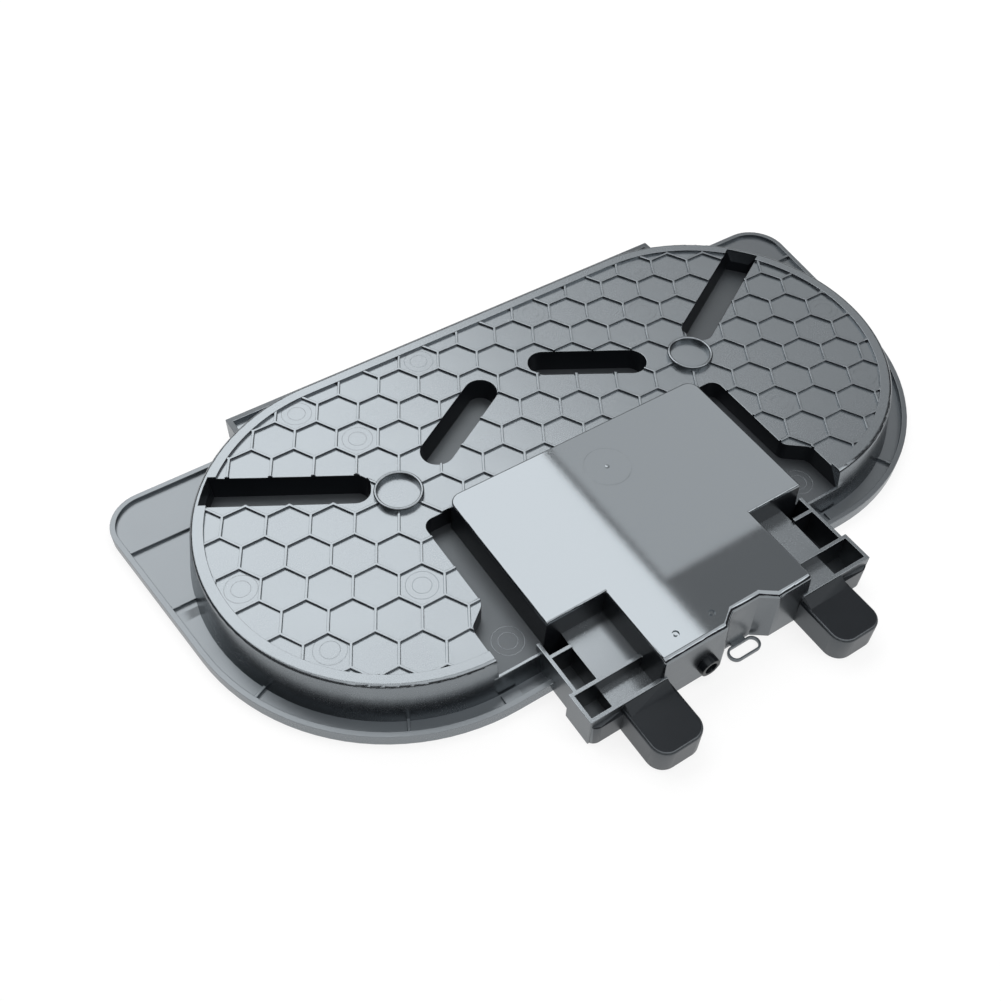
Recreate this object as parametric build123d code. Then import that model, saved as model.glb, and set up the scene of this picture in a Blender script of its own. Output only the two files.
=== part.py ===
from build123d import *
from math import acos, atan2, cos, hypot, pi, radians, sin, sqrt, tan
import os

# Mop bracket of a robot vacuum: one hollow plastic moulding, open underneath.
# +X runs along the tray, -Y points to the latch tabs, +Z is up and the table is z = 0.
# Plan places are measured from the middle between the two ring bosses. The finished part is
# moved at the end, so that its origin is under the middle of its overall length and width.

# Wall of the moulding and heights of its main levels above the table
WALL = 2.0
CELL_FLOOR = 20.0
EPS = 0.01

# Raised tray: two round ends joined by straight sides, with a rounded rim and a sloping wall
TRAY_ARC_X = 78.0
TRAY_ARC_Y = -7.0
TRAY_RADIUS = 76.5
TRAY_DRAFT = 9.5
RIM_WIDTH = 5.0
RIM_RISE = 1.2
RIM_ROUND = 1.8

# Honeycomb of ribs on the tray floor; the ring bosses sit on two cells of it
HEX_SIDE = 9.6
RIB_WIDTH = 1.1
RIB_HEIGHT = 1.0
BOSS_COLUMN = 5
HEX_COLUMNS = 12
HEX_ROWS = 6

# Ring bosses
BOSS_OUTER_R = 9.8
BOSS_WALL = 1.4
BOSS_RISE = 2.4
BOSS_EASE = 0.4

# Slots along the rows of cells that start at the ring bosses, each to the left of its row
SLOT_WIDTH = 13.8
SLOT_DEPTH = 9.5
SLOT_DRAFT = 8.0
SLOT_ANGLE = 30.0
SLOT_OFFSET = 2.7
LONG_SLOT_START = 10.8
LONG_SLOT_CORNER = 6.0
LONG_SLOT_END_WALL = 2.0
SHORT_SLOT_START = 19.0
SHORT_SLOT_LENGTH = 51.0

# Drain channels beside the cover, open over a low lip at the front
CHANNEL_DEPTH = 8.5
CHANNEL_BACK = -17.0
CHANNEL_SIDE = 72.0
CHANNEL_STEP_OUT = 9.0
CHANNEL_STEP_BACK = -60.0
CHANNEL_STEP_RUN = 7.0
CHANNEL_CORNER = 4.5
CHANNEL_LIP = 0.8
CHANNEL_LIP_WIDTH = 1.2

# Flange around the tray, with two wings, a raised edge and thin ribs, lower along the round ends
FLANGE_RADIUS = 87.2
FLANGE_FLOOR = 4.0
FLANGE_THICK = 2.0
FLANGE_DROP = 1.5
FLANGE_DROP_Y = 5.0
FLANGE_DROP_RUN = 4.0
WING_X = 173.6
WING_BACK = 65.6
WING_CORNER = 16.0
FLANGE_EDGE_WIDTH = 2.2
FLANGE_EDGE_RISE = 1.5
FLANGE_RIB_WIDTH = 1.2
FLANGE_RIB_RISE = 1.3
WING_RIB_YS = (39.8, 7.7)
ARC_RIB_ANGLES = (-24.0, -63.0)
PAD_LENGTH = 7.5
PAD_WIDTH = 4.5
PAD_RISE = 0.8

# Ledge behind the tray
LEDGE_HALF = 110.0
LEDGE_BACK = 78.7
LEDGE_FLOOR = 9.0
LEDGE_EDGE_WIDTH = 2.5
LEDGE_EDGE_RISE = 2.0

# Cover: the raised box between the channels, with a nose between the latches
COVER_RISE = 5.3
COVER_HALF = 59.6
COVER_BACK = -15.3
COVER_BACK_CORNER = 5.0
COVER_NOTCH = -82.0
NOSE_HALF = 34.0
NOSE_FRONT = -117.0
COVER_DRAFT = 3.0
COVER_ROUND = 0.8
NOSE_ROUND = 2.2
DENT_X = 6.2
DENT_WIDTH = 12.5
DENT_DEPTH = 4.3
DENT_RUN = 6.0
PIP_RADIUS = 1.4
PIP_DEPTH = 0.6
PIP_XS = (-23.8, -7.6)
PIP_SETBACK = 7.5

# Drain spout in the nose
SPOUT_X = -13.5
SPOUT_Z = 8.5
SPOUT_OUTER_R = 4.2
SPOUT_BORE_R = 2.6
SPOUT_REACH = 3.0

# Lifting loop at the foot of the nose
LOOP_LENGTH = 12.6
LOOP_GAP = 4.6
LOOP_BAND = 0.9
LOOP_THICK = 1.6
LOOP_STANDOFF = 0.8

# Latch frames at both sides of the nose
FRAME_TOP = 15.0
FRAME_WALL = 1.6
FRAME_SIDE = 63.5
FRAME_STEP = 2.0
FRAME_STEP_Y = -105.5
FRAME_FRONT = -118.0
FRAME_RIB_Y = -89.0
SILL_TOP = 11.0
SILL_REACH = 1.6
SILL_CORNER = 4.0
SHELF_SIDE = 53.0
SHELF_FLOOR = 13.6
POCKET_FLOOR = 9.0
WELL_FLOOR = 2.0

# Latch tabs
TAB_INNER = 30.8
TAB_OUTER = 52.3
TAB_FRONT = -141.0
TAB_TOP = 12.0
TAB_UNDERSIDE = 0.0
TAB_CORNER = 6.5
TAB_ROUND = 1.2
RAMP_TOP = 14.4
RAMP_RUN = 4.5

# Sizes worked out from the values above
RIM_TOP = CELL_FLOOR + RIM_RISE
RIB_TOP = CELL_FLOOR + RIB_HEIGHT
COVER_TOP = CELL_FLOOR + COVER_RISE
CHANNEL_FLOOR = CELL_FLOOR - CHANNEL_DEPTH
RECESS_FLOOR = CELL_FLOOR - max(SLOT_DEPTH, CHANNEL_DEPTH)
FLANGE_LOW = FLANGE_FLOOR - FLANGE_DROP
TRAY_SLOPE = tan(radians(TRAY_DRAFT))
TRAY_FOOT = TRAY_RADIUS + RIM_TOP * TRAY_SLOPE
TRAY_FRONT = TRAY_ARC_Y - TRAY_RADIUS - (RIM_TOP - CHANNEL_FLOOR) * TRAY_SLOPE
BOSS_X = 1.5 * HEX_SIDE * BOSS_COLUMN
HEX_PITCH = sqrt(3) * HEX_SIDE
UP = (0, 0, 1)
DOWN = (0, 0, -1)


def prism(sketch, low, high):
    """Stand a flat outline up between two heights."""
    return extrude(Pos(0, 0, low) * sketch, amount=high - low, dir=UP)


def sloped(sketch, high, low, draft):
    """Run a flat outline down between two heights, narrowing by the draft angle."""
    return extrude(Pos(0, 0, high) * sketch, amount=high - low, dir=DOWN, taper=draft)


def plate(x_low, x_high, y_low, y_high):
    """Flat rectangle between two x places and two y places."""
    middle = Pos((x_low + x_high) / 2, (y_low + y_high) / 2)
    return middle * Rectangle(x_high - x_low, y_high - y_low)


def both_sides(shape):
    """A right-hand shape together with its mirror image on the left."""
    return shape + mirror(shape, about=Plane.YZ)


def stadium(radius):
    """Outline that runs around the tray at one distance from its two arc centres."""
    return Pos(0, TRAY_ARC_Y) * SlotCenterToCenter(2 * TRAY_ARC_X, 2 * radius)


def flange_outline():
    """Tray outline made wider, with straight sides that run out to the wing corners."""
    reach_x = WING_X - TRAY_ARC_X
    reach_y = WING_BACK - TRAY_ARC_Y
    side = atan2(reach_y, reach_x) - acos(FLANGE_RADIUS / hypot(reach_x, reach_y))
    middle = (side - pi / 2) / 2
    side_end, bend, front_end = (
        (TRAY_ARC_X + FLANGE_RADIUS * cos(a), TRAY_ARC_Y + FLANGE_RADIUS * sin(a))
        for a in (side, middle, -pi / 2))
    back = Polyline((0, front_end[1]), (0, WING_BACK), (WING_X, WING_BACK), side_end)
    half = make_face([*back.edges(), ThreePointArc(side_end, bend, front_end),
                      Line(front_end, (0, front_end[1]))])
    outline = both_sides(half)
    return fillet(outline.vertices().group_by(Axis.Y)[-1], WING_CORNER)


def flange():
    """Plate around the tray with a raised edge, a ramp down to its round ends, and thin ribs."""
    outline = flange_outline()
    inside = offset(outline, -FLANGE_EDGE_WIDTH)
    top = FLANGE_FLOOR + FLANGE_EDGE_RISE
    solid = prism(outline, 0, top) - prism(inside, FLANGE_FLOOR, top + EPS)
    ramp_foot = FLANGE_DROP_Y - FLANGE_DROP_RUN
    far = TRAY_ARC_Y - 2 * FLANGE_RADIUS
    drop = make_face(Polyline(
        (FLANGE_DROP_Y, top), (FLANGE_DROP_Y, FLANGE_FLOOR), (ramp_foot, FLANGE_LOW), (far, FLANGE_LOW),
        (far, top), close=True))
    solid -= extrude(Plane.YZ * drop, amount=2 * WING_X, both=True) & prism(inside, 0, top)
    half = FLANGE_RIB_WIDTH / 2
    wing_ribs = Sketch() + [plate(TRAY_ARC_X, WING_X, y - half, y + half) for y in WING_RIB_YS]
    spokes = [Pos(TRAY_ARC_X, TRAY_ARC_Y) * Rot(0, 0, angle) for angle in ARC_RIB_ANGLES]
    spoke = Pos(FLANGE_RADIUS / 2, 0) * Rectangle(FLANGE_RADIUS, FLANGE_RIB_WIDTH)
    arc_ribs = Sketch() + [place * spoke for place in spokes]
    pad_y = TRAY_ARC_Y - (TRAY_FOOT + FLANGE_RADIUS - FLANGE_EDGE_WIDTH) / 2
    pad = Pos(TRAY_ARC_X, pad_y) * Rectangle(PAD_LENGTH, PAD_WIDTH)
    solid += prism(both_sides(wing_ribs) & inside, FLANGE_LOW, FLANGE_FLOOR + FLANGE_RIB_RISE)
    solid += prism(both_sides(arc_ribs) & inside, 0, FLANGE_LOW + FLANGE_RIB_RISE)
    return solid + prism(both_sides(pad), 0, FLANGE_LOW + PAD_RISE)


def ledge():
    """Low shelf behind the tray, with a raised edge on its free sides."""
    outline = plate(-LEDGE_HALF, LEDGE_HALF, TRAY_ARC_Y, LEDGE_BACK)
    side = LEDGE_HALF - LEDGE_EDGE_WIDTH
    inside = plate(-side, side, TRAY_ARC_Y, LEDGE_BACK - LEDGE_EDGE_WIDTH)
    top = LEDGE_FLOOR + LEDGE_EDGE_RISE
    return prism(outline, 0, top) - prism(inside, LEDGE_FLOOR, top + EPS)


def honeycomb_cells():
    """Hexagons between the ribs, clipped to the floor inside the rim."""
    apothem = (HEX_PITCH - RIB_WIDTH) / 2
    cells = []
    for column in range(-HEX_COLUMNS, HEX_COLUMNS + 1):
        lift = 0.0 if column % 2 else 0.5
        for row in range(-HEX_ROWS, HEX_ROWS + 1):
            place = Pos(1.5 * HEX_SIDE * column, HEX_PITCH * (row + lift))
            cells.append(place * RegularPolygon(apothem, 6, major_radius=False, rotation=0))
    return (Sketch() + cells) & stadium(TRAY_RADIUS - RIM_WIDTH)


def tray_block():
    """Solid tray with its rounded rim, its floor and the honeycomb."""
    block = sloped(stadium(TRAY_RADIUS), RIM_TOP, 0, -TRAY_DRAFT)
    block = fillet(block.faces().sort_by(Axis.Z)[-1].edges(), RIM_ROUND)
    block -= prism(stadium(TRAY_RADIUS - RIM_WIDTH), RIB_TOP, RIM_TOP + EPS)
    return block - prism(honeycomb_cells(), CELL_FLOOR, RIB_TOP + EPS)


def ring_boss():
    """Right-hand ring with an eased top edge, and the round space inside it."""
    top = CELL_FLOOR + BOSS_RISE
    bore = Circle(BOSS_OUTER_R - BOSS_WALL)
    ring = prism(Circle(BOSS_OUTER_R) - bore, CELL_FLOOR - WALL, top)
    ring = chamfer(ring.faces().sort_by(Axis.Z)[-1].edges(), BOSS_EASE)
    seat = prism(bore, CELL_FLOOR, top + EPS)
    return Pos(BOSS_X, 0) * ring, Pos(BOSS_X, 0) * seat


def slots():
    """Outlines of the slots, all pointing away from the ring bosses."""
    reach = 2 * TRAY_RADIUS
    long_slot = Pos(LONG_SLOT_START + reach / 2, SLOT_OFFSET) * Rectangle(reach, SLOT_WIDTH)
    long_slot = fillet(long_slot.vertices().group_by(Axis.X)[0], LONG_SLOT_CORNER)
    short_slot = Pos(SHORT_SLOT_START + SHORT_SLOT_LENGTH / 2, SLOT_OFFSET)
    short_slot *= SlotOverall(SHORT_SLOT_LENGTH, SLOT_WIDTH)
    boss = Pos(BOSS_X, 0)
    outward = boss * Rot(0, 0, SLOT_ANGLE) * long_slot
    outward &= stadium(TRAY_RADIUS - LONG_SLOT_END_WALL)
    inward = boss * Rot(0, 0, 180 - SLOT_ANGLE) * short_slot
    return both_sides(Sketch() + [outward, inward])


def channels():
    """Outlines of the drain channels, which widen to the front."""
    wide = CHANNEL_SIDE + CHANNEL_STEP_OUT
    step_front = CHANNEL_STEP_BACK - CHANNEL_STEP_RUN
    inner = COVER_HALF - WALL
    front = TRAY_FRONT - WALL
    outline = make_face(Polyline(
        (inner, CHANNEL_BACK), (CHANNEL_SIDE, CHANNEL_BACK), (CHANNEL_SIDE, CHANNEL_STEP_BACK),
        (wide, step_front), (wide, front), (inner, front), close=True))
    bends = [v for v in outline.vertices() if v.X > inner + EPS and v.Y > front + EPS]
    return both_sides(fillet(bends, CHANNEL_CORNER))


def channel_lips():
    """Low walls that stay at the open ends of the channels."""
    wide = CHANNEL_SIDE + CHANNEL_STEP_OUT + WALL
    lip = plate(COVER_HALF - WALL, wide, TRAY_FRONT, TRAY_FRONT + CHANNEL_LIP_WIDTH)
    return prism(both_sides(lip), CHANNEL_FLOOR - WALL, CHANNEL_FLOOR + CHANNEL_LIP)


def cover_outline(inset=0.0):
    """Box between the channels and its nose, without the dent in the nose."""
    box = plate(-COVER_HALF + inset, COVER_HALF - inset, COVER_NOTCH + inset, COVER_BACK - inset)
    nose = plate(-NOSE_HALF + inset, NOSE_HALF - inset, NOSE_FRONT + inset, COVER_NOTCH + 2 * inset)
    return fillet(box.vertices().group_by(Axis.Y)[-1], COVER_BACK_CORNER - inset) + nose


def dent_outline(inset=0.0):
    """Shallow set-back in the front of the nose, with sloping ends."""
    half = DENT_WIDTH / 2 + inset
    back = NOSE_FRONT + DENT_DEPTH + inset
    front = NOSE_FRONT - 2 * WALL
    slope = DENT_RUN / DENT_DEPTH
    spread = half + slope * (back - front)
    return make_face(Polyline(
        (DENT_X - spread, front), (DENT_X - half, back), (DENT_X + half, back),
        (DENT_X + spread, front), close=True))


def cover():
    """Drafted box, rounded most along the front of its nose."""
    outline = cover_outline() - dent_outline()
    solid = sloped(outline, COVER_TOP, 0, -COVER_DRAFT)
    edges = solid.faces().sort_by(Axis.Z)[-1].edges()
    front = edges.filter_by(lambda e: e.center().Y < NOSE_FRONT + DENT_DEPTH + EPS)
    solid = fillet(front, NOSE_ROUND)
    edges = solid.faces().sort_by(Axis.Z)[-1].edges()
    rest = edges.filter_by(lambda e: e.center().Y > NOSE_FRONT + DENT_DEPTH + NOSE_ROUND + EPS)
    solid = fillet(rest, COVER_ROUND)
    for x in PIP_XS:
        pip = Pos(x, NOSE_FRONT + PIP_SETBACK) * (Circle(PIP_RADIUS) - Circle(PIP_RADIUS / 2))
        solid -= prism(pip, COVER_TOP - PIP_DEPTH, COVER_TOP + EPS)
    return solid


def latch_frame():
    """Open frame at the right of the nose: a sill below and thin walls above it."""
    root = NOSE_HALF - WALL
    back = COVER_NOTCH
    wide = FRAME_SIDE + FRAME_STEP
    step_back = FRAME_STEP_Y + FRAME_WALL / 2
    sill = plate(root, wide, FRAME_FRONT - SILL_REACH, step_back)
    corner = sill.vertices().group_by(Axis.Y)[0].sort_by(Axis.X)[-1]
    sill = fillet(corner, SILL_CORNER)
    solid = prism(sill, 0, SILL_TOP)
    solid += prism(plate(root, FRAME_SIDE, FRAME_STEP_Y, back), 0, FRAME_TOP)
    solid += prism(plate(root, wide, FRAME_FRONT, step_back), 0, FRAME_TOP)
    return solid


def latch_wells():
    """Spaces in the right-hand frame, cut from above."""
    well_side = FRAME_SIDE - FRAME_WALL
    wide = well_side + FRAME_STEP
    back = COVER_NOTCH
    bar_back = FRAME_STEP_Y + FRAME_WALL / 2
    bar_front = FRAME_STEP_Y - FRAME_WALL / 2
    front = FRAME_FRONT + FRAME_WALL
    rib = FRAME_WALL / 2
    top = FRAME_TOP + EPS
    cut = prism(plate(NOSE_HALF, SHELF_SIDE, bar_back, back), SHELF_FLOOR, top)
    cut += prism(plate(SHELF_SIDE, well_side, FRAME_RIB_Y + rib, back), WELL_FLOOR, top)
    cut += prism(plate(SHELF_SIDE, well_side, bar_back, FRAME_RIB_Y - rib), WELL_FLOOR, top)
    cut += prism(plate(NOSE_HALF, SHELF_SIDE, front, bar_front), POCKET_FLOOR, top)
    cut += prism(plate(SHELF_SIDE, wide, front, bar_front), WELL_FLOOR, top)
    return cut


def latch_tab():
    """Finger tab in front of the right-hand frame, with a ramp down from the frame wall."""
    plan = plate(TAB_INNER, TAB_OUTER, TAB_FRONT, FRAME_FRONT)
    plan = fillet(plan.vertices().group_by(Axis.Y)[0], TAB_CORNER)
    solid = prism(plan, TAB_UNDERSIDE, TAB_TOP)
    rounded = solid.faces().sort_by(Axis.Z)[-1].edges()
    rounded = rounded.filter_by(lambda e: e.center().Y < FRAME_FRONT - EPS)
    solid = fillet(rounded, TAB_ROUND)
    foot = TAB_TOP - TAB_ROUND
    ramp = make_face(Polyline(
        (FRAME_FRONT, foot), (FRAME_FRONT, RAMP_TOP), (FRAME_FRONT - RAMP_RUN, TAB_TOP),
        (FRAME_FRONT - RAMP_RUN, foot), close=True))
    low, high = TAB_INNER + TAB_ROUND, TAB_OUTER - TAB_ROUND
    return solid + extrude(Plane.YZ.offset(low) * ramp, amount=high - low, dir=(1, 0, 0))


def hollows():
    """Spaces inside the moulding, all open underneath, one wall in from the outside."""
    recesses = slots() + channels()
    low = RECESS_FLOOR - WALL
    under_tray = stadium(TRAY_RADIUS - WALL)
    under_recesses = stadium(TRAY_RADIUS + (RIM_TOP - low) * TRAY_SLOPE - WALL)
    cut = sloped(under_recesses, low, -EPS, -TRAY_DRAFT)
    cut += prism(under_tray - offset(recesses, WALL), -EPS, CELL_FLOOR - WALL)
    latch_side = FRAME_SIDE + FRAME_STEP
    before_latches = plate(-latch_side, latch_side, TRAY_ARC_Y - TRAY_FOOT, COVER_NOTCH + WALL)
    cut -= prism(before_latches, -2 * EPS, CELL_FLOOR)
    wing = plate(-WING_X, WING_X, FLANGE_DROP_Y, WING_BACK) & offset(flange_outline(), -FLANGE_EDGE_WIDTH)
    cut += prism(wing - stadium(TRAY_FOOT), -EPS, FLANGE_FLOOR - FLANGE_THICK)
    side = LEDGE_HALF - LEDGE_EDGE_WIDTH
    under_ledge = plate(-side, side, FLANGE_DROP_Y, LEDGE_BACK - LEDGE_EDGE_WIDTH)
    cut += prism(under_ledge - stadium(TRAY_FOOT), -EPS, LEDGE_FLOOR - WALL)
    cut += prism(cover_outline(WALL) - dent_outline(WALL), -EPS, COVER_TOP - WALL)
    frame_back = COVER_NOTCH - WALL
    bar = FRAME_STEP_Y + FRAME_WALL / 2
    shelf = plate(NOSE_HALF + WALL, SHELF_SIDE - WALL, bar, frame_back)
    pocket = plate(NOSE_HALF + WALL, SHELF_SIDE - WALL, FRAME_FRONT + WALL, bar - WALL)
    tab = plate(TAB_INNER + WALL, TAB_OUTER - WALL, TAB_FRONT + WALL, FRAME_FRONT - SILL_REACH - WALL)
    tab = fillet(tab.vertices().group_by(Axis.Y)[0], TAB_CORNER - WALL)
    cut += both_sides(prism(shelf, -EPS, SHELF_FLOOR - WALL))
    cut += both_sides(prism(pocket, -EPS, POCKET_FLOOR - WALL))
    return cut + both_sides(prism(tab, -EPS, TAB_TOP - WALL))


def spout():
    """Short round spout out of the nose, and the bore through it and the wall behind it."""
    face = Plane((SPOUT_X, NOSE_FRONT + WALL, SPOUT_Z), x_dir=(1, 0, 0), z_dir=(0, -1, 0))
    foot = (COVER_TOP - SPOUT_Z) * tan(radians(COVER_DRAFT))
    length = WALL + foot + SPOUT_REACH
    tube = extrude(face * Circle(SPOUT_OUTER_R), amount=length)
    bore = extrude(face.offset(-WALL) * Circle(SPOUT_BORE_R), amount=length + 2 * WALL)
    return tube, bore


def loop():
    """Flat lifting loop in front of the dent, at the foot of the nose."""
    wall_face = NOSE_FRONT + DENT_DEPTH - COVER_TOP * tan(radians(COVER_DRAFT))
    y = wall_face - LOOP_STANDOFF - LOOP_BAND - LOOP_GAP / 2
    outer = SlotOverall(LOOP_LENGTH + 2 * LOOP_BAND, LOOP_GAP + 2 * LOOP_BAND)
    neck = plate(-LOOP_LENGTH / 4, LOOP_LENGTH / 4, LOOP_GAP / 2, wall_face - y + WALL / 2)
    flat = (outer + neck) - SlotOverall(LOOP_LENGTH, LOOP_GAP)
    return prism(Pos(DENT_X, y) * flat, 0, LOOP_THICK)


def mop_bracket():
    """The whole moulding."""
    body = tray_block() + flange() + ledge()
    body -= sloped(slots(), CELL_FLOOR, CELL_FLOOR - SLOT_DEPTH, SLOT_DRAFT)
    body -= prism(slots(), CELL_FLOOR, RIM_TOP + EPS)
    body -= prism(channels(), CHANNEL_FLOOR, RIM_TOP + EPS)
    body += channel_lips()
    before_cover = plate(-COVER_HALF, COVER_HALF, TRAY_ARC_Y - TRAY_FOOT, COVER_NOTCH)
    body -= prism(before_cover, FLANGE_LOW, RIM_TOP + EPS)
    body += both_sides(latch_frame())
    body -= both_sides(latch_wells())
    body += cover()
    body += both_sides(latch_tab())
    ring, seat = ring_boss()
    body = body + both_sides(ring) - both_sides(seat)
    body -= hollows()
    tube, bore = spout()
    body = body + tube - bore + loop()
    return Pos(0, -(LEDGE_BACK + TAB_FRONT) / 2, 0) * body


os.makedirs("parts", exist_ok=True)
export_step(mop_bracket(), "parts/mop_bracket.step")
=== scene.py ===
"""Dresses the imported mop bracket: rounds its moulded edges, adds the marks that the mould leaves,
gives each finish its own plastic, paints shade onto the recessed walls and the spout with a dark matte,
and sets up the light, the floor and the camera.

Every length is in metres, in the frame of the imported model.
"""

import math

import bpy
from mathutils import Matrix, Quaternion, Vector


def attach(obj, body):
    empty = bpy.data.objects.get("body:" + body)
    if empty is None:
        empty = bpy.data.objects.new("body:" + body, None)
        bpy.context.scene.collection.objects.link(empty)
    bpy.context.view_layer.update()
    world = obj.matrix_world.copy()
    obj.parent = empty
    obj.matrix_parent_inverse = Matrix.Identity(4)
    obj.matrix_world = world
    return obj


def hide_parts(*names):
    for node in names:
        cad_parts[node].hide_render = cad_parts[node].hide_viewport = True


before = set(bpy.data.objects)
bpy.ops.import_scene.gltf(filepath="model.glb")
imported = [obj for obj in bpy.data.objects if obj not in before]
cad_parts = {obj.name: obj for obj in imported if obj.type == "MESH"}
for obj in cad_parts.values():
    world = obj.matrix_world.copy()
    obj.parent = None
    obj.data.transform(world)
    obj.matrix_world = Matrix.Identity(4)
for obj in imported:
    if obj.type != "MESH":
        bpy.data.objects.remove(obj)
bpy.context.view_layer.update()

MM = 0.001

# Levels of the moulding
CELL_FLOOR = 20.0 * MM
RIB_TOP = 21.0 * MM
CHANNEL_FLOOR = 11.5 * MM
COVER_TOP = 25.3 * MM

# Edges of the moulding; those along the tops of the ribs are rounder than the plain ones
MERGE_DISTANCE = 0.002 * MM
EDGE_ANGLE = math.radians(38)
EDGE_WIDTH = 0.30 * MM
RIB_EDGE_SHARE = 1.0
PLAIN_EDGE_SHARE = 0.8
EDGE_SEGMENTS = 2

# Shading: area of a broad face, and the upward part of a level face's normal
SMOOTH_ANGLE = math.radians(32)
BROAD_FACE = 8.0 * MM * MM
LEVEL_FACE = 0.9999

# Small round marks in the nose, whose edges stay sharp
PIP_ROW = -78.35 * MM
PIP_XS = (-23.8 * MM, -7.6 * MM)
PIP_REACH = 2.0 * MM

# Parts of the moulding with their own finish, and the places where shade is painted on
COVER_HALF = 61.0 * MM
COVER_FRONT = -89.0 * MM
COVER_BACK = 17.0 * MM
COVER_SKIN = 21.6 * MM
TAB_BACK = -87.4 * MM
TAB_INNER = 30.0 * MM
TAB_SLOPE_FRONT = -93.0 * MM
SPOUT_X = -13.5 * MM
SPOUT_Z = 8.5 * MM
SPOUT_REACH = 4.5 * MM
SPOUT_BACK = -84.0 * MM
FLANGE_TOP = 7.4 * MM
SLOT_FLOORS = (10.0 * MM, 12.0 * MM)
TRAY_ARC_X = 78.0 * MM
TRAY_ARC_Y = 24.15 * MM
TRAY_INSIDE = 74.0 * MM
LATCH_INNER = 33.0 * MM
LATCH_OUTER = 62.6 * MM
LATCH_FRONT = -86.0 * MM
LATCH_BACK = -45.0 * MM
FRONT_WALL_HALF = 66.0 * MM

# Upward part of a face's normal: least on a tab's top, on a tab's slope and on a floor, most on a wall
TAB_TOP_UP = 0.97
TAB_SLOPE_UP = 0.3
FLOOR_UP = 0.9
WALL_UP = 0.5

# Finishes in the order of their numbers: colour, loss and spread of gloss, scale and depth of grain, shine
SATIN, GLOSS, MATTE_AND_SHADE, DULL, ERODED = range(5)
CHARCOAL = (0.008, 0.009, 0.011)
# The deepest charcoal, with almost no shine, is the tabs' matte finish and also painted shade on recessed
# walls and in the spout
MATTE_AND_SHADE_CHARCOAL = (0.007, 0.008, 0.010)
FINISHES = {
    "charcoal_satin": (CHARCOAL, 0.22, 0.16, 2600, 0.10, 1.0),
    "charcoal_smooth": (CHARCOAL, 0.03, 0.04, 3400, 0.012, 1.0),
    "charcoal_matte_and_painted_shade": (MATTE_AND_SHADE_CHARCOAL, 0.26, 0.14, 2200, 0.12, 0.08),
    "charcoal_dull": (CHARCOAL, 0.26, 0.18, 2400, 0.12, 0.7),
    "charcoal_eroded": (CHARCOAL, 0.38, 0.20, 2000, 0.16, 0.42),
}

# Plastic: strength and cool cast of its reflections, and its grain
PLASTIC_IOR = 2.0
COOL_TINT = (0.86, 0.94, 1.0, 1)
GRAIN_HEIGHT = 0.1 * MM
FINE_DETAIL = 3
FINE_ROUGHNESS = 0.6
SLOW_SCALE = 38
SLOW_DETAIL = 2
TONE_RANGE = (0.8, 1.2)

# Raised lines of the round marks
MARK_LINE = 0.10 * MM
MARK_FLATTEN = 0.3
MARK_SEGMENTS = 64
MARK_LINE_SEGMENTS = 6

# Rings that the ejector pins leave, and their places on one side: x and y in millimetres, level
PIN_RINGS = (6.1 * MM, 3.6 * MM)
PIN_PLACES = (
    (86.4, 89.35, CELL_FLOOR), (72.0, 64.4, CELL_FLOOR), (28.8, 89.35, CELL_FLOOR),
    (127.4, -16.85, CELL_FLOOR), (86.4, -10.43, CELL_FLOOR), (142.5, 22.84, CELL_FLOOR),
    (69.9, -42.55, CHANNEL_FLOOR),
)

# Mark of the gate on the cover
GATE_PLACE = (1.5 * MM, -3.85 * MM)
GATE_RING = 9.4 * MM
GATE_NUB = 0.9 * MM
GATE_NUB_HEIGHT = 0.2 * MM
GATE_NUB_SIDES = 32
GATE_NUB_SEGMENTS = 2

# Camera
CAMERA_PLACE = Vector((-201.2, -222.05, 369.5)) * MM
CAMERA_AIM = Vector((0.3584, 0.5124, -0.7804))
CAMERA_ROLL = math.radians(2.31)
CAMERA_LENS = 41.82
CAMERA_SENSOR = 36
CAMERA_CLIP = 0.01

# Light panels overhead: span along x and y, brightness of the panel's face
PANEL_HEIGHT = 1.2
PANELS = {
    "key_panel": ((-0.95, 0.62), (0.365, 2.30), 3.0),
    "side_panel": ((0.63, 1.02), (0.50, 2.30), 1.35),
    "far_panel": ((1.03, 2.20), (0.45, 2.30), 0.82),
    "near_gap_panel": ((-0.20, 0.62), (0.16, 0.355), 0.40),
    "middle_gap_panel": ((0.62, 1.02), (0.16, 0.495), 0.40),
    "far_gap_panel": ((1.02, 1.50), (0.16, 0.445), 0.40),
    "top_panel": ((-0.90, 1.30), (-1.50, 0.15), 1.7),
}

# Light panel in front, turned to the bracket
FRONT_PANEL_PLACE = Vector((0.66, -0.69, 0.87))
FRONT_PANEL_SIZE = (0.55, 0.30)
FRONT_PANEL_BRIGHTNESS = 1.5

# Surroundings
WHITE = (1, 1, 1, 1)
AMBIENT = 0.06
FLOOR_RADIUS = 6
FLOOR_SIDES = 96
FLOOR_COLOUR = (0.95, 0.95, 0.95, 1)
FLOOR_SHADOW_SHARE = 0.2


def only(obj):
    """Makes one object the selected and active one."""
    bpy.ops.object.select_all(action="DESELECT")
    obj.select_set(True)
    bpy.context.view_layer.objects.active = obj


def copy_of(obj, name):
    """Copy of an object with its own mesh, left selected and active."""
    only(obj)
    bpy.ops.object.duplicate()
    copy = bpy.context.view_layer.objects.active
    copy.name = name
    return copy


def join(base, other):
    """Joins another object into a base object."""
    only(base)
    other.select_set(True)
    bpy.ops.object.join()


def settle(obj, place):
    """Moves an object's mesh to its place and leaves the object itself at the origin."""
    only(obj)
    obj.location = place
    bpy.ops.object.transform_apply(location=True, rotation=True, scale=True)


def in_pip(place):
    """Says if a place lies in one of the small marks in the nose."""
    return any(math.hypot(place.x - x, place.y - PIP_ROW) < PIP_REACH for x in PIP_XS)


def stands_out(one, other):
    """Says if the edge between two faces is an outer one and not an inner corner."""
    return (other.center - one.center).dot(one.normal) < 0


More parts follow.
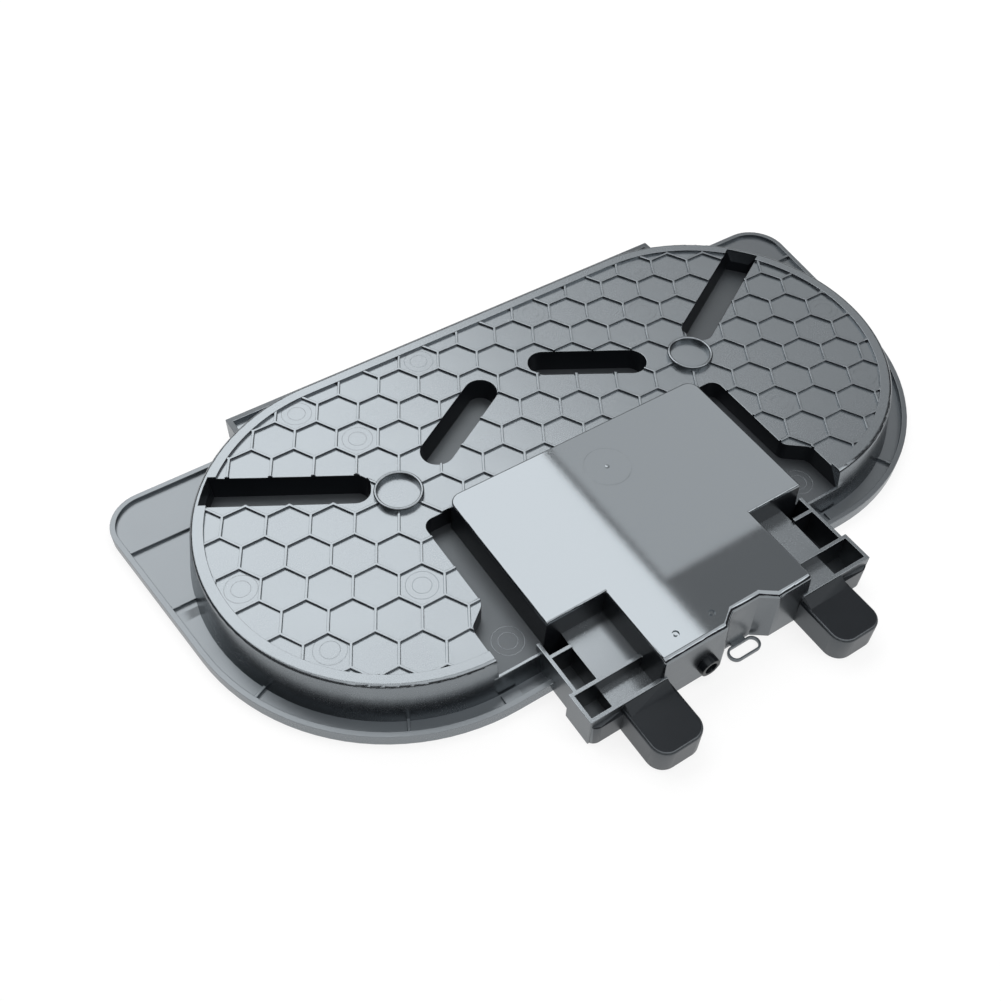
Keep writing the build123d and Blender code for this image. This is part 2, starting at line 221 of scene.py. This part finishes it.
def merge(piece):
    """Merges the corners of a piece and leaves its sharp edges selected."""
    only(piece)
    bpy.ops.mesh.customdata_custom_splitnormals_clear()
    bpy.ops.object.mode_set(mode="EDIT")
    bpy.ops.mesh.select_all(action="SELECT")
    bpy.ops.mesh.remove_doubles(threshold=MERGE_DISTANCE)
    bpy.ops.mesh.select_all(action="DESELECT")
    bpy.ops.mesh.select_mode(type="EDGE")
    bpy.ops.mesh.edges_select_sharp(sharpness=EDGE_ANGLE)
    bpy.ops.object.mode_set(mode="OBJECT")


def round_edges(piece):
    """Rounds the selected edges of the active piece, apart from inner corners and the pips."""
    mesh = piece.data
    sides = {}
    for face in mesh.polygons:
        for key in face.edge_keys:
            sides.setdefault(key, []).append(face)
    weights = mesh.attributes.new("bevel_weight_edge", "FLOAT", "EDGE")
    for edge in mesh.edges:
        first, second = (mesh.vertices[i].co for i in edge.vertices)
        if edge.select and stands_out(*sides[edge.key]) and not in_pip((first + second) / 2):
            on_rib = all(abs(z - RIB_TOP) < MERGE_DISTANCE for z in (first.z, second.z))
            weights.data[edge.index].value = RIB_EDGE_SHARE if on_rib else PLAIN_EDGE_SHARE
    rounding = piece.modifiers.new("rounded edges", "BEVEL")
    rounding.limit_method = "WEIGHT"
    rounding.width = EDGE_WIDTH
    rounding.segments = EDGE_SEGMENTS
    rounding.use_clamp_overlap = False
    rounding.loop_slide = False
    rounding.face_strength_mode = "FSTR_ALL"
    bpy.ops.object.modifier_apply(modifier=rounding.name)


def shade(piece):
    """Shades the active piece smooth, with its broad and level faces kept even."""
    bpy.ops.object.shade_smooth_by_angle(angle=SMOOTH_ANGLE)
    mesh = piece.data
    broad = piece.vertex_groups.new(name="broad faces")
    corners = {i for face in mesh.polygons if face.area > BROAD_FACE for i in face.vertices}
    broad.add(sorted(corners), 1.0, "REPLACE")
    even = piece.modifiers.new("broad faces stay even", "WEIGHTED_NORMAL")
    even.keep_sharp = True
    even.use_face_influence = True
    even.vertex_group = broad.name
    bpy.ops.object.modifier_apply(modifier=even.name)
    piece.vertex_groups.clear()

    for face in mesh.polygons:
        face.select = face.normal.z > LEVEL_FACE
    bpy.ops.object.mode_set(mode="EDIT")
    bpy.ops.mesh.select_mode(type="FACE")
    bpy.ops.mesh.set_normals_from_faces(keep_sharp=True)
    bpy.ops.object.mode_set(mode="OBJECT")


def moulding():
    """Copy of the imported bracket, merged, with its sharp edges rounded."""
    piece = copy_of(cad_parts["mop_bracket"], "bracket_moulding")
    merge(piece)
    round_edges(piece)
    shade(piece)
    return piece


def in_shaded_recess(x, y, z):
    """Says if a wall stands in a slot, in a channel or in a latch well, where shade is painted on it."""
    from_arc = math.hypot(max(abs(x) - TRAY_ARC_X, 0), y - TRAY_ARC_Y)
    in_tray = from_arc < TRAY_INSIDE and SLOT_FLOORS[0] < z < CELL_FLOOR
    in_latch = LATCH_INNER < abs(x) < LATCH_OUTER and LATCH_FRONT < y < LATCH_BACK
    return in_tray or in_latch


def finish_of(face):
    """Number of the finish that one face of the moulding has; the darkest one is also painted shade in
    recesses and the spout.
    """
    x, y, z = face.center
    up = face.normal.z
    if y < TAB_BACK and abs(x) > TAB_INNER:
        on_top = up > TAB_TOP_UP or (up > TAB_SLOPE_UP and y > TAB_SLOPE_FRONT)
        return MATTE_AND_SHADE if on_top else ERODED
    # Painted shade: the end of the spout gets the dark matte so that it looks like a dark opening
    if y < SPOUT_BACK and math.hypot(x - SPOUT_X, z - SPOUT_Z) < SPOUT_REACH:
        return MATTE_AND_SHADE
    if abs(x) < COVER_HALF and COVER_FRONT < y < COVER_BACK and z > COVER_SKIN:
        return GLOSS
    if up > FLOOR_UP and z < FLANGE_TOP:
        return DULL
    if up > FLOOR_UP and SLOT_FLOORS[0] < z < SLOT_FLOORS[1]:
        return ERODED
    # Painted shade: walls down in the slots, channels and latch wells get the dark matte
    if abs(up) < WALL_UP and in_shaded_recess(x, y, z):
        return MATTE_AND_SHADE
    if abs(up) < WALL_UP and y < LATCH_BACK and abs(x) < FRONT_WALL_HALF:
        return DULL
    return SATIN


def paint(piece, finishes):
    """Gives each part of the moulding its own finish, and paints shade onto the recessed walls and the
    spout.
    """
    mesh = piece.data
    mesh.materials.clear()
    for material in finishes:
        mesh.materials.append(material)
    for face in mesh.polygons:
        face.material_index = finish_of(face)


def ring(name, radius):
    """Low round line, flattened from a thin torus."""
    bpy.ops.mesh.primitive_torus_add(major_radius=radius, minor_radius=MARK_LINE,
                                     major_segments=MARK_SEGMENTS, minor_segments=MARK_LINE_SEGMENTS)
    obj = bpy.context.object
    obj.name = name
    bpy.ops.object.mode_set(mode="EDIT")
    bpy.ops.mesh.select_all(action="SELECT")
    bpy.ops.transform.resize(value=(1, 1, MARK_FLATTEN))
    bpy.ops.object.mode_set(mode="OBJECT")
    bpy.ops.object.shade_smooth()
    return obj


def pin_marks():
    """Pairs of low rings on the tray floor and in the channels."""
    outer, inner = (ring("pin_mark", radius) for radius in PIN_RINGS)
    join(outer, inner)
    marks = []
    for side in (-1, 1):
        for x, y, z in PIN_PLACES:
            mark = copy_of(outer, "pin_mark_%02d" % (len(marks) + 1))
            settle(mark, (side * x * MM, y * MM, z))
            marks.append(mark)
    bpy.data.objects.remove(outer)
    return marks


def gate_mark():
    """Ring and cut-off stub where the plastic came into the mould."""
    outer = ring("gate_mark", GATE_RING)
    bpy.ops.mesh.primitive_cylinder_add(vertices=GATE_NUB_SIDES, radius=GATE_NUB,
                                        depth=2 * GATE_NUB_HEIGHT)
    stub = bpy.context.object
    bpy.ops.object.mode_set(mode="EDIT")
    bpy.ops.mesh.select_all(action="SELECT")
    bpy.ops.mesh.bevel(offset=GATE_NUB_HEIGHT / 2, segments=GATE_NUB_SEGMENTS, affect="EDGES")
    bpy.ops.object.mode_set(mode="OBJECT")
    bpy.ops.object.shade_smooth_by_angle(angle=SMOOTH_ANGLE)
    join(outer, stub)
    settle(outer, (*GATE_PLACE, COVER_TOP))
    return outer


def grain_group():
    """Shared texture of moulded plastic: fine grain, slow changes of tone and of gloss."""
    group = bpy.data.node_groups.new("moulded_grain", "ShaderNodeTree")
    sockets = group.interface
    sockets.new_socket("Tone", in_out="INPUT", socket_type="NodeSocketColor")
    for name in ("Gloss Loss", "Gloss Spread", "Grain Scale"):
        sockets.new_socket(name, in_out="INPUT", socket_type="NodeSocketFloat")
    sockets.new_socket("Colour", in_out="OUTPUT", socket_type="NodeSocketColor")
    sockets.new_socket("Roughness", in_out="OUTPUT", socket_type="NodeSocketFloat")
    sockets.new_socket("Height", in_out="OUTPUT", socket_type="NodeSocketFloat")
    nodes, links = group.nodes, group.links
    given = nodes.new("NodeGroupInput")
    result = nodes.new("NodeGroupOutput")
    place = nodes.new("ShaderNodeTexCoord")

    fine = nodes.new("ShaderNodeTexNoise")
    fine.inputs["Detail"].default_value = FINE_DETAIL
    fine.inputs["Roughness"].default_value = FINE_ROUGHNESS
    links.new(place.outputs["Object"], fine.inputs["Vector"])
    links.new(given.outputs["Grain Scale"], fine.inputs["Scale"])
    links.new(fine.outputs["Fac"], result.inputs["Height"])

    slow = nodes.new("ShaderNodeTexNoise")
    slow.inputs["Scale"].default_value = SLOW_SCALE
    slow.inputs["Detail"].default_value = SLOW_DETAIL
    links.new(place.outputs["Object"], slow.inputs["Vector"])
    mixed = nodes.new("ShaderNodeMath")
    mixed.operation = "MULTIPLY"
    links.new(fine.outputs["Fac"], mixed.inputs[0])
    links.new(slow.outputs["Fac"], mixed.inputs[1])

    rough = nodes.new("ShaderNodeMath")
    rough.operation = "MULTIPLY_ADD"
    links.new(mixed.outputs["Value"], rough.inputs[0])
    links.new(given.outputs["Gloss Spread"], rough.inputs[1])
    links.new(given.outputs["Gloss Loss"], rough.inputs[2])
    links.new(rough.outputs["Value"], result.inputs["Roughness"])

    lightness = nodes.new("ShaderNodeMapRange")
    lightness.inputs["To Min"].default_value = TONE_RANGE[0]
    lightness.inputs["To Max"].default_value = TONE_RANGE[1]
    links.new(slow.outputs["Fac"], lightness.inputs["Value"])
    tone = nodes.new("ShaderNodeVectorMath")
    tone.operation = "SCALE"
    links.new(given.outputs["Tone"], tone.inputs["Vector"])
    links.new(lightness.outputs["Result"], tone.inputs["Scale"])
    links.new(tone.outputs["Vector"], result.inputs["Colour"])
    return group


def plastic(name, group, colour, gloss_loss, gloss_spread, grain_scale, grain_depth, shine):
    """Dark moulded plastic with its own gloss and grain."""
    material = bpy.data.materials.new(name)
    material.use_nodes = True
    nodes, links = material.node_tree.nodes, material.node_tree.links
    shader = nodes["Principled BSDF"]
    grain = nodes.new("ShaderNodeGroup")
    grain.node_tree = group
    grain.inputs["Tone"].default_value = (*colour, 1)
    grain.inputs["Gloss Loss"].default_value = gloss_loss
    grain.inputs["Gloss Spread"].default_value = gloss_spread
    grain.inputs["Grain Scale"].default_value = grain_scale
    bump = nodes.new("ShaderNodeBump")
    bump.inputs["Strength"].default_value = grain_depth
    bump.inputs["Distance"].default_value = GRAIN_HEIGHT
    links.new(grain.outputs["Height"], bump.inputs["Height"])
    links.new(grain.outputs["Colour"], shader.inputs["Base Color"])
    links.new(grain.outputs["Roughness"], shader.inputs["Roughness"])
    links.new(bump.outputs["Normal"], shader.inputs["Normal"])
    shader.inputs["IOR"].default_value = PLASTIC_IOR
    shader.inputs["Specular IOR Level"].default_value = shine
    shader.inputs["Specular Tint"].default_value = COOL_TINT
    return material


def surroundings():
    """World that the camera sees as white and that lights the bracket only a little."""
    world = bpy.data.worlds.new("studio")
    bpy.context.scene.world = world
    world.use_nodes = True
    nodes, links = world.node_tree.nodes, world.node_tree.links
    dim = nodes["Background"]
    dim.inputs["Color"].default_value = WHITE
    dim.inputs["Strength"].default_value = AMBIENT
    white = nodes.new("ShaderNodeBackground")
    white.inputs["Color"].default_value = WHITE
    white.inputs["Strength"].default_value = 1
    path = nodes.new("ShaderNodeLightPath")
    mix = nodes.new("ShaderNodeMixShader")
    links.new(path.outputs["Is Camera Ray"], mix.inputs["Fac"])
    links.new(dim.outputs["Background"], mix.inputs[1])
    links.new(white.outputs["Background"], mix.inputs[2])
    links.new(mix.outputs["Shader"], nodes["World Output"].inputs["Surface"])


def panel(name, size, brightness, place):
    """Light panel that faces down, equally bright all over."""
    lamp = bpy.data.lights.new(name, "AREA")
    lamp.shape = "RECTANGLE"
    lamp.size, lamp.size_y = size
    lamp.energy = brightness * math.pi * lamp.size * lamp.size_y
    holder = bpy.data.objects.new(name, lamp)
    bpy.context.collection.objects.link(holder)
    holder.location = place
    return holder


def light_panels():
    """Panels overhead, which the plastic mirrors, and one in front."""
    for name, (span_x, span_y, brightness) in PANELS.items():
        size = (span_x[1] - span_x[0], span_y[1] - span_y[0])
        panel(name, size, brightness, (sum(span_x) / 2, sum(span_y) / 2, PANEL_HEIGHT))
    front = panel("front_panel", FRONT_PANEL_SIZE, FRONT_PANEL_BRIGHTNESS, FRONT_PANEL_PLACE)
    front.rotation_mode = "QUATERNION"
    front.rotation_quaternion = (-FRONT_PANEL_PLACE).to_track_quat("-Z", "Y")


def pale_floor():
    """Floor that looks white, keeps a share of the shadow and is clear from below."""
    bpy.ops.mesh.primitive_circle_add(vertices=FLOOR_SIDES, radius=FLOOR_RADIUS, fill_type="NGON")
    floor = bpy.context.object
    floor.name = "floor"
    material = bpy.data.materials.new("pale_floor")
    material.use_nodes = True
    nodes, links = material.node_tree.nodes, material.node_tree.links
    shader = nodes["Principled BSDF"]
    shader.inputs["Base Color"].default_value = FLOOR_COLOUR
    shader.inputs["Roughness"].default_value = 1
    shader.inputs["Specular IOR Level"].default_value = 0

    glow = nodes.new("ShaderNodeEmission")
    path = nodes.new("ShaderNodeLightPath")
    seen = nodes.new("ShaderNodeMath")
    seen.operation = "MAXIMUM"
    share = nodes.new("ShaderNodeMath")
    share.operation = "MULTIPLY"
    share.inputs[1].default_value = 1 - FLOOR_SHADOW_SHARE
    mix = nodes.new("ShaderNodeMixShader")
    links.new(path.outputs["Is Camera Ray"], seen.inputs[0])
    links.new(path.outputs["Is Glossy Ray"], seen.inputs[1])
    links.new(seen.outputs["Value"], share.inputs[0])
    links.new(share.outputs["Value"], mix.inputs["Fac"])
    links.new(shader.outputs["BSDF"], mix.inputs[1])
    links.new(glow.outputs["Emission"], mix.inputs[2])

    side = nodes.new("ShaderNodeNewGeometry")
    clear = nodes.new("ShaderNodeBsdfTransparent")
    above = nodes.new("ShaderNodeMixShader")
    links.new(side.outputs["Backfacing"], above.inputs["Fac"])
    links.new(mix.outputs["Shader"], above.inputs[1])
    links.new(clear.outputs["BSDF"], above.inputs[2])
    links.new(above.outputs["Shader"], nodes["Material Output"].inputs["Surface"])
    floor.data.materials.append(material)


def camera():
    """Camera at the photograph's place."""
    lens = bpy.data.cameras.new("camera")
    lens.lens = CAMERA_LENS
    lens.sensor_width = CAMERA_SENSOR
    lens.clip_start = CAMERA_CLIP
    holder = bpy.data.objects.new("camera", lens)
    holder.location = CAMERA_PLACE
    holder.rotation_mode = "QUATERNION"
    holder.rotation_quaternion = (CAMERA_AIM.to_track_quat("-Z", "Y")
                                  @ Quaternion((0, 0, 1), CAMERA_ROLL))
    bpy.context.collection.objects.link(holder)
    bpy.context.scene.camera = holder


grain = grain_group()
finishes = [plastic(name, grain, *look) for name, look in FINISHES.items()]

bracket = moulding()
paint(bracket, finishes)
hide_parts("mop_bracket")
gate = gate_mark()
gate.data.materials.append(finishes[GLOSS])
pins = pin_marks()
for mark in pins:
    mark.data.materials.append(finishes[SATIN])
for piece in (bracket, gate, *pins):
    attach(piece, "root")
surroundings()
light_panels()
pale_floor()
camera()
bpy.context.scene.view_settings.view_transform = "Standard"
